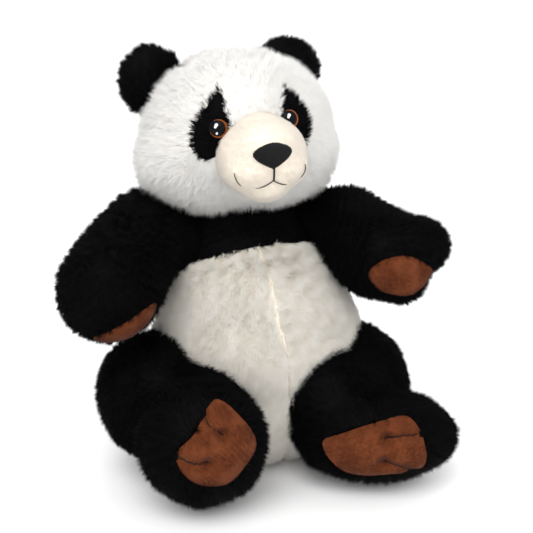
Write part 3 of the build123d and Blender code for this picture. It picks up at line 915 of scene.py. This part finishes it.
def nose_and_mouth():
    """Upright nose stitches side by side, the drop below them and the smile."""
    lines = []
    for k in range(NOSE_STITCHES):
        x = NOSE_HALF_WIDTH * 0.97 * (2 * k / (NOSE_STITCHES - 1) - 1)
        heights = [z for z in np.linspace(-NOSE_DOWN, NOSE_UP, 60) if nose_half_width(z) >= abs(x)]
        if len(heights) < 2:
            continue
        low, high = heights[0], heights[-1]
        line = []
        for t in np.linspace(0, 1, 9):
            z = low + (high - low) * t
            edge = min(1.0, (1 - (2 * t - 1) ** 6)) * (1 - (abs(x) / NOSE_HALF_WIDTH) ** 4 * 0.7)
            line.append(on_muzzle(x, NOSE_MIDDLE[1] + z, 0.5 + 1.3 * edge))
        lines.append(line)
    threads("nose_stitching", lines, NOSE_THREAD, "head", BLACK_THREAD, ["nose"])
    lip = NOSE_MIDDLE[1] - NOSE_DOWN - 7.0
    drop = [on_muzzle(0, z, 0.9) for z in np.linspace(NOSE_MIDDLE[1] - NOSE_DOWN + 1, lip, 9)]
    mouth = [drop, [p + HEAD.rotation @ (0.5, 0, 0) for p in drop]]
    for sign in SIDES.values():
        curve = smooth_line(SMILE, 3)
        mouth.append([on_muzzle(sign * x, lip + z, lift) for x, z, lift in curve])
    threads("mouth_threads", mouth, MOUTH_THREAD, "head", BLACK_THREAD, ["mouth_stitching"])


def gloss_material(name, colour, roughness=0.06):
    """Clear-coated plastic with a faint mottle."""
    made, nodes, links, shader = material(name)
    coordinates = nodes.new("ShaderNodeTexCoord")
    noise = nodes.new("ShaderNodeTexNoise")
    noise.inputs["Scale"].default_value = 700
    ramp = colour_ramp(nodes, [c * 0.75 for c in colour], [min(1, c * 1.2) for c in colour])
    links.new(coordinates.outputs["Object"], noise.inputs["Vector"])
    links.new(noise.outputs["Fac"], ramp.inputs["Fac"])
    links.new(ramp.outputs["Color"], shader.inputs["Base Color"])
    shader.inputs["Roughness"].default_value = roughness
    shader.inputs["Specular IOR Level"].default_value = 0.04
    shader.inputs["Coat Weight"].default_value = 0.06
    shader.inputs["Coat Roughness"].default_value = 0.03
    return made


EYE_BLACK = gloss_material("eye_black", (0.004, 0.004, 0.005))
EYE_IRIS = gloss_material("eye_iris", (0.23, 0.062, 0.014))
# Painted highlight: the white of the spots painted on each eye's dome in place of reflections of the lights.
EYE_PAINTED_HIGHLIGHT = gloss_material("eye_painted_highlight", (0.92, 0.92, 0.92))


EYE_RADIUS, EYE_DOME, EYE_FOOT = 6.5, 4.4, -1.5
EYE_RINGS, EYE_SEGMENTS = 26, 72
IRIS_RADIUS, PUPIL_RADIUS, PUPIL_SHIFT = 5.5, 4.75, (-0.75, 0.35)
# Painted highlights on each eye's dome, as centre and radius: white spots that stand for reflections of the
# lights.
EYE_PAINTED_HIGHLIGHTS = [((-1.2, 2.3), 0.95), ((-2.0, 1.2), 0.75), ((-1.5, -2.6), 0.65)]


def ring_points(radius, height):
    """One ring of an eye's dome."""
    angles = [2 * math.pi * k / EYE_SEGMENTS for k in range(EYE_SEGMENTS)]
    return [(radius * math.cos(angle), radius * math.sin(angle), height) for angle in angles]


def eye(side):
    """A domed safety eye: black rim, brown iris ring, large pupil and painted highlights, white spots that stand
    for reflections of the lights.
    """
    centre, normal = eye_centre(side)
    outward = unit(normal + HEAD.rotation @ (0, -0.55, 0.0))
    place = Place(centre - outward * 0.4, axes(outward, HEAD.rotation @ (1, 0, 0)))
    points, faces = [(0, 0, EYE_DOME)], []
    for ring in range(1, EYE_RINGS + 1):
        r = EYE_RADIUS * ring / EYE_RINGS
        points += ring_points(r, EYE_DOME * math.sqrt(max(0.0, 1 - (r / EYE_RADIUS) ** 2 * 0.97)))
    foot = len(points)
    points += ring_points(EYE_RADIUS * 0.9, EYE_FOOT)
    last = 1 + (EYE_RINGS - 1) * EYE_SEGMENTS
    around = [(k, (k + 1) % EYE_SEGMENTS) for k in range(EYE_SEGMENTS)]
    faces += [(0, 1 + k, 1 + n) for k, n in around]
    for ring in range(EYE_RINGS - 1):
        a, b = 1 + ring * EYE_SEGMENTS, 1 + (ring + 1) * EYE_SEGMENTS
        faces += [(a + k, b + k, b + n, a + n) for k, n in around]
    faces += [(last + k, foot + k, foot + n, last + n) for k, n in around]
    faces.append(tuple(reversed(range(foot, foot + EYE_SEGMENTS))))
    thing = new_object(f"eye_{side}_dome", place.out(points), faces)
    mesh = thing.data
    shade_smooth(mesh)
    for finish in (EYE_BLACK, EYE_IRIS, EYE_PAINTED_HIGHLIGHT):
        mesh.materials.append(finish)
    local = np.array(points)
    for polygon in mesh.polygons:
        x, y, z = local[list(polygon.vertices)].mean(0)
        if z < 0:
            continue
        pupil = math.hypot(x - PUPIL_SHIFT[0], y - PUPIL_SHIFT[1]) < PUPIL_RADIUS
        iris = math.hypot(x, y) < IRIS_RADIUS
        polygon.material_index = 1 if iris and not pupil else 0
        # Painted highlights: faces inside each white spot take the highlight's colour in place of a reflection.
        for (highlight_x, highlight_y), highlight_radius in EYE_PAINTED_HIGHLIGHTS:
            if math.hypot(x - highlight_x, y - highlight_y) < highlight_radius:
                polygon.material_index = 2
    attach(thing, "head")
    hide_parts(f"eye_{side}")


# ---------------------------------------------------------------------------------------------- ears
def ears():
    """Front and back of each ear, and its pile."""
    for side in SIDES:
        body, skin, place = f"ear_{side}", SKINS[f"ear_{side}"], EAR_PLACES[side]
        front = lambda p, n, q=place: q.into(p)[:, 1] < 0
        back = lambda p, n, q=place: q.into(p)[:, 1] >= 0
        panel(f"ear_front_{side}_skin", body, skin, front, BLACK_BACKING, [f"ear_front_{side}"])
        panel(f"ear_back_{side}_skin", body, skin, back, BLACK_BACKING, [f"ear_back_{side}"])
        coat = {**BLACK_COAT, "per_mm2": 3.4, "length": 5.6, "width": 0.5, "lean": 0.9}
        outside = lambda p, n: depth_inside(SHAPES["head"], p) < 0
        pile(f"ear_{side}_pile", body, skin, coat, outside, away_from(place.out((0, 3, -26))))


# --------------------------------------------------------------------------------------------- torso
def torso():
    """The torso's panels with their pile, the bare seat and the tail."""
    skin = SKINS["torso"]
    limbs = clear_of("arm_right", "arm_left", "leg_right", "leg_left")
    local = SPINE.into
    off_seat = lambda p, n: n[:, 2] > SEAT_SLOPE
    is_front = lambda p: local(p)[:, 1] < TORSO_SIDE
    regions = {
        "chest": (lambda p, n: (yoke_edge(p) >= 0) & is_front(p), BLACK_COAT, BLACK_BACKING,
                  ["chest_panel", "neck_cover"]),
        "upper_back": (lambda p, n: (yoke_edge(p) >= 0) & ~is_front(p), BLACK_COAT, BLACK_BACKING,
                       ["upper_back_panel", "neck_filling"]),
    }
    for side, sign in SIDES.items():
        half = lambda p, n, s=sign: (yoke_edge(p) < 0) & (local(p)[:, 0] * s > 0) & off_seat(p, n)
        regions[f"belly_{side}"] = (lambda p, n, h=half: h(p, n) & is_front(p),
                                    BELLY_COAT, BELLY_BACKING, [f"belly_panel_{side}"])
        regions[f"lower_back_{side}"] = (lambda p, n, h=half: h(p, n) & ~is_front(p),
                                         BACK_COAT, WHITE_BACKING, [f"lower_back_panel_{side}"])
    for name, (region, coat, backing, nodes) in regions.items():
        panel(name + "_skin", "torso", skin, region, backing, nodes)
        flow = belly_flow if coat is BELLY_COAT else towards((0, 0.1, -1))
        pile(name + "_pile", "torso", skin, coat, both(region, limbs), flow)
    seat = lambda p, n: (yoke_edge(p) < 0) & ~off_seat(p, n)
    panel("seat_skin", "torso", skin, seat, WHITE_BACKING, ["seat_panel", "body_filling"])
    tail = SKINS["tail"]
    panel("tail_skin", "torso", tail, lambda p, n: p[:, 2] > 0, WHITE_BACKING, ["tail"])
    outside = lambda p, n: depth_inside(SHAPES["torso"], p) < 1
    coat = {**BACK_COAT, "per_mm2": 4.0}
    pile("tail_pile", "torso", tail, coat, outside, away_from(SPINE.out((0, 50, 60))))


def belly_flow(points, normals):
    """Down and out from the middle seam, where the pile parts."""
    local = SPINE.into(points)
    apart = np.sign(local[:, 0]) * np.exp(-(local[:, 0] / 6) ** 2)
    way = np.stack([apart * 0.5, np.full(len(points), -0.2), np.full(len(points), -0.8)], 1)
    return way @ SPINE.rotation.T


# ---------------------------------------------------------------------------------------------- limbs
PAD_RINGS, PAD_STEPS = 18, 6
PAD_LIFT, PAD_PUFF = 1.6, 2.2
STITCH_DENT, CREASE_DENT, CREASE_BEND = 4.6, 4.4, 1.6


def disc_on(skin, place, outline, reach):
    """An outline filled ring by ring and laid on a skin: points, normals, flat coordinates, faces."""
    rim = smooth_line(outline, PAD_STEPS, closed=True)
    segments = len(rim)
    middle = rim.mean(0)
    local = [middle]
    for ring in range(1, PAD_RINGS + 1):
        local += list(middle + (rim - middle) * ring / PAD_RINGS)
    points, normals = [], []
    for u, v in local:
        hit, normal = on_skin(skin, place.out((u, v, reach)), -place.rotation[:, 2])
        points.append(hit)
        normals.append(normal)
    faces = [(0, 1 + k, 1 + (k + 1) % segments) for k in range(segments)]
    for ring in range(PAD_RINGS - 1):
        a, b = 1 + ring * segments, 1 + (ring + 1) * segments
        for k in range(segments):
            n = (k + 1) % segments
            faces += [(a + k, b + k, b + n), (a + k, b + n, a + n)]
    inward = np.concatenate([[0.0], np.repeat(np.arange(1, PAD_RINGS + 1), segments) / PAD_RINGS])
    return np.array(points), np.array(normals), np.array(local), inward, faces_outward(points, faces, place)


def faces_outward(points, faces, place):
    """Faces wound so that they look along the place's Z axis."""
    points, faces = np.array(points), np.array(faces)
    corners = points[faces]
    face = np.cross(corners[:, 1] - corners[:, 0], corners[:, 2] - corners[:, 0]).sum(0)
    return faces if face @ place.rotation[:, 2] > 0 else faces[:, ::-1]


def puff(local, inward):
    """A padded rise that falls to nothing at the rim."""
    return PAD_PUFF * np.sqrt(np.clip(1 - inward ** 2, 0, 1))


def toe_relief(side):
    """The puff with the dents of the toe stitches and the creases from them to the toe edge."""
    def relief(local, inward):
        rise = puff(local, inward)
        for start, end in zip(TOE_STITCHES[side], TOE_CREASE_ENDS[side]):
            start, run = np.array(start), np.array(end) - start
            length = np.linalg.norm(run)
            along = (local - start) @ run / length
            across = (local - start) @ (-run[1], run[0]) / length
            bend = CREASE_BEND * np.sin(math.pi * np.clip(along / length, 0, 1))
            rise -= STITCH_DENT * np.exp(-((local - start) ** 2).sum(1) / 4.0 ** 2)
            crease = np.exp(-np.abs((across - bend) / 2.6) ** 1.2)
            rise -= (CREASE_DENT * crease * np.clip(along / 3 + 0.3, 0, 1)
                     * np.clip((length + 4 - along) / 4, 0, 1))
            beside = np.exp(-((across - bend) / 6.5) ** 2)
            rise += PAD_PUFF * beside * np.clip(along / 6, 0, 1) * (1 - inward ** 4)
        return rise
    return relief


def pad(name, body, skin, place, outline, reach, relief, nodes):
    """A suede pad laid on a skin: a closed sheet with its relief, and its nap."""
    points, normals, local, inward, faces = disc_on(skin, place, outline, reach)
    out = place.rotation[:, 2]
    top = points + normals * PAD_LIFT + out * relief(local, inward)[:, None]
    pad_skin = Skin(top, faces)
    under = top - pad_skin.normals * SKIN_THICKNESS
    count, segments = len(top), len(outline) * PAD_STEPS
    rim = np.arange(count - segments, count)
    walls = []
    for k in range(segments):
        a, b = rim[k], rim[(k + 1) % segments]
        walls += [(a, a + count, b + count), (a, b + count, b)]
    closed = np.concatenate([faces, faces[:, ::-1] + count, np.array(walls)])
    thing = triangle_object(name, np.concatenate([top, under]), closed)
    shade_smooth(thing.data)
    thing.data.materials.append(SUEDE)
    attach(thing, body)
    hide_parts(*nodes)
    everywhere = lambda p, n: np.ones(len(p), bool)
    pile(name + "_nap", body, pad_skin, NAP_COAT, everywhere, towards((0.2, 0, -1)))
    return top, local


def press_in(skin, covered, place, depth=7.0):
    """Pushes the skin in where a pad covers it, so that the pad's dents stay clear of it."""
    inside = covered(skin.points, skin.normals)
    skin.points[inside] -= place.rotation[:, 2] * depth
    skin.refresh()


def under_pad(place, outline, share, facing=0.2):
    """Roots on the side that a pad covers, within a share of its outline."""
    rim = smooth_line(outline, PAD_STEPS, closed=True)
    middle = rim.mean(0)
    angles = np.arctan2(*(rim - middle).T[::-1])
    order = np.argsort(angles)
    radii = np.linalg.norm(rim - middle, axis=1)[order]
    angles = angles[order]

    def inside(points, normals):
        local = place.into(points)[:, :2] - middle
        limit = np.interp(np.arctan2(local[:, 1], local[:, 0]), angles, radii, period=2 * math.pi)
        return (np.linalg.norm(local, axis=1) < limit * share) & (normals @ place.rotation[:, 2] > facing)
    return inside


def arms():
    """Inner and outer panel of each arm, its palm pad and its pile."""
    for side in SIDES:
        body, skin = f"arm_{side}", SKINS[f"arm_{side}"]
        line = PAW[side] - SHOULDER[side]
        facing, outline = PALM_FACING[side], PALM_OUTLINE[side]
        palm = Place(SHOULDER[side] + PALM_MIDDLE[side], axes(facing, PALM_LENGTHWAYS[side]))
        halves = axes(line, facing)
        inner = lambda p, n, h=halves, s=side: (p - SHOULDER[s]) @ h[:, 0] > 0
        outer = lambda p, n, f=inner: ~f(p, n)
        pad(f"palm_pad_{side}_suede", body, skin, palm, outline, 60, puff, [f"palm_pad_{side}"])
        covered = under_pad(palm, outline, 0.92)
        press_in(skin, covered, palm, 2.0)
        around = under_pad(palm, outline, 0.97, -0.5)
        bare = lambda p, n, c=around: ~c(p, n)
        panel(f"arm_inner_{side}_skin", body, skin, inner, BLACK_BACKING,
              [f"arm_inner_panel_{side}", f"arm_filling_{side}"])
        panel(f"arm_outer_{side}_skin", body, skin, outer, BLACK_BACKING,
              [f"arm_outer_panel_{side}"])
        clear = both(bare, clear_of("torso", "head", deepest=16))
        flow = towards(unit(line) + np.array((0, 0, -0.25)))
        pile(f"arm_{side}_pile", body, skin, BLACK_COAT, clear, flow)


def legs():
    """Upper and lower panel of each leg, its sole pad with the toe threads, and its pile."""
    for side in SIDES:
        body, skin, foot = f"leg_{side}", SKINS[f"leg_{side}"], FOOT[side]
        outline = SOLE_OUTLINE[side]
        upper = lambda p, n, f=foot: f.into(p)[:, 1] > 0
        lower = lambda p, n, f=foot: f.into(p)[:, 1] <= 0
        top, local = pad(f"sole_pad_{side}_suede", body, skin, foot, outline, 70, toe_relief(side),
                         [f"sole_pad_{side}"])
        covered = under_pad(foot, outline, 0.94)
        press_in(skin, covered, foot)
        around = under_pad(foot, outline, 1.01, -0.5)
        bare = lambda p, n, c=around, f=foot: ~c(p, n) | (f.into(p)[:, 2] < 5)
        panel(f"leg_upper_{side}_skin", body, skin, upper, BLACK_BACKING,
              [f"leg_upper_panel_{side}", f"leg_filling_{side}"])
        panel(f"leg_lower_{side}_skin", body, skin, lower, BLACK_BACKING,
              [f"leg_lower_panel_{side}"])
        clear = both(bare, clear_of("torso", deepest=16))
        hip = HIP[side]
        flow = leg_flow(foot, hip)
        coat = {**BLACK_COAT, "length": leg_length(foot)}
        pile(f"leg_{side}_pile", body, skin, coat, clear, flow)
        toe_threads(side, body, top, local)


def leg_flow(foot, hip):
    """From hip to foot, then outward round the sole."""
    def flow(points, normals):
        local = foot.into(points)
        rim = np.clip((local[:, 2] + 6) / 20, 0, 1)[:, None]
        outward = (np.stack([local[:, 0], local[:, 1], np.full(len(points), 4.0)], 1)) @ foot.rotation.T
        return unit(foot.origin - hip) * (1 - rim) + unit(outward) * rim + np.array((0, 0, -0.15))
    return flow


def leg_length(foot):
    """Longer towards the ragged edge of the foot."""
    def length(points):
        return 5.6 + 1.8 * np.clip((foot.into(points)[:, 2] + 10) / 25, 0, 1)
    return length


def toe_threads(side, body, top, local):
    """The two pulled threads from the toe stitches to the toe edge of the sole."""
    lines = []
    for start, end in zip(TOE_STITCHES[side], TOE_CREASE_ENDS[side]):
        start, run = np.array(start), np.array(end) - start
        across = np.array((-run[1], run[0])) / np.linalg.norm(run)
        line = []
        for t in np.linspace(0, 0.93, 12):
            spot = start + run * t + across * CREASE_BEND * math.sin(math.pi * t)
            weights = 1 / (((local - spot) ** 2).sum(1) + 0.3) ** 3
            line.append((top * weights[:, None]).sum(0) / weights.sum() + FOOT[side].rotation[:, 2] * 0.25)
        lines.append(line)
    threads(f"toe_stitches_{side}_threads", lines, TOE_THREAD, body, BLACK_THREAD,
            [f"toe_stitches_{side}"])


# ------------------------------------------------------------------------------ CAD nodes that stay
def finish_cad_nodes():
    """A finish for each CAD node that is carried over."""
    slots = {part["node"]: part["material_slot"] for part in frame["record"]["subparts"]}
    finishes = {}
    for name, thing in frame["nodes"].items():
        if thing.hide_render:
            continue
        slot_name = slots[name]
        if slot_name not in finishes:
            colour, scale = CAD_FINISHES.get(slot_name, ((0.5, 0.5, 0.5), 60))
            finishes[slot_name] = cloth_material("cad_" + slot_name, colour, 0.08, scale)
        if not thing.material_slots:
            thing.data.materials.append(finishes[slot_name])
        for place in thing.material_slots:
            place.material = finishes[slot_name]


# ------------------------------------------------------------------------------------------- staging
CAMERA_TARGET = (NECK[0] + 9.0, NECK[1] - 33.5, 125.0)
CAMERA_DISTANCE, CAMERA_AZIMUTH, CAMERA_HEIGHT = 790.0, -18.0, 18.0     # mm, degrees, degrees
CAMERA_LENS, CAMERA_SENSOR = 85, 36
FLOOR_SIZE, FLOOR_TONE, STUDIO_GLOW = 60, 0.90, 0.66
LIGHTS = {      # where each shines from, its strength, and its softness in degrees
    "key": ((-0.55, -0.75, 1.2), 1.9, 50),
    "fill": ((1.0, -0.7, 0.6), 0.7, 80),
    "front": ((-0.3, -1.0, 0.35), 1.05, 90),
    "back": ((0.35, 1.0, 0.7), 1.5, 90),
}


def sun(name, place, strength, softness):
    """Soft light from far away, from the direction of a place."""
    data = bpy.data.lights.new(name, "SUN")
    data.energy, data.angle = strength, math.radians(softness)
    lamp = bpy.data.objects.new(name, data)
    lamp.rotation_euler = (-Vector(place)).to_track_quat("-Z", "Y").to_euler()
    bpy.context.scene.collection.objects.link(lamp)


def stage():
    """Pale floor, soft studio light and the camera."""
    scene = bpy.context.scene
    bpy.ops.mesh.primitive_plane_add(size=FLOOR_SIZE)
    ground = bpy.context.active_object
    ground.name = "ground"
    paint, _, _, shader = material("pale_floor")
    shader.inputs["Base Color"].default_value = (FLOOR_TONE, FLOOR_TONE, FLOOR_TONE, 1)
    shader.inputs["Roughness"].default_value = 0.9
    ground.data.materials.append(paint)
    world = bpy.data.worlds.new("studio")
    scene.world = world
    world.use_nodes = True
    world.node_tree.nodes["Background"].inputs["Color"].default_value = (1, 1, 1, 1)
    world.node_tree.nodes["Background"].inputs["Strength"].default_value = STUDIO_GLOW
    for name, values in LIGHTS.items():
        sun(name, *values)
    scene.view_settings.view_transform = "Standard"
    scene.view_settings.look = "None"
    azimuth, height = math.radians(CAMERA_AZIMUTH), math.radians(CAMERA_HEIGHT)
    back = np.array((math.sin(azimuth) * math.cos(height), -math.cos(azimuth) * math.cos(height),
                     math.sin(height)))
    target = np.array(CAMERA_TARGET)
    data = bpy.data.cameras.new("camera")
    data.lens, data.sensor_width = CAMERA_LENS, CAMERA_SENSOR
    camera = bpy.data.objects.new("camera", data)
    camera.location = (target + back * CAMERA_DISTANCE) * MM
    camera.rotation_euler = Vector(-back).to_track_quat("-Z", "Y").to_euler()
    scene.collection.objects.link(camera)
    scene.camera = camera


stage()
head()
muzzle()
nose_and_mouth()
for _side in SIDES:
    eye(_side)
ears()
torso()
arms()
legs()
finish_cad_nodes()
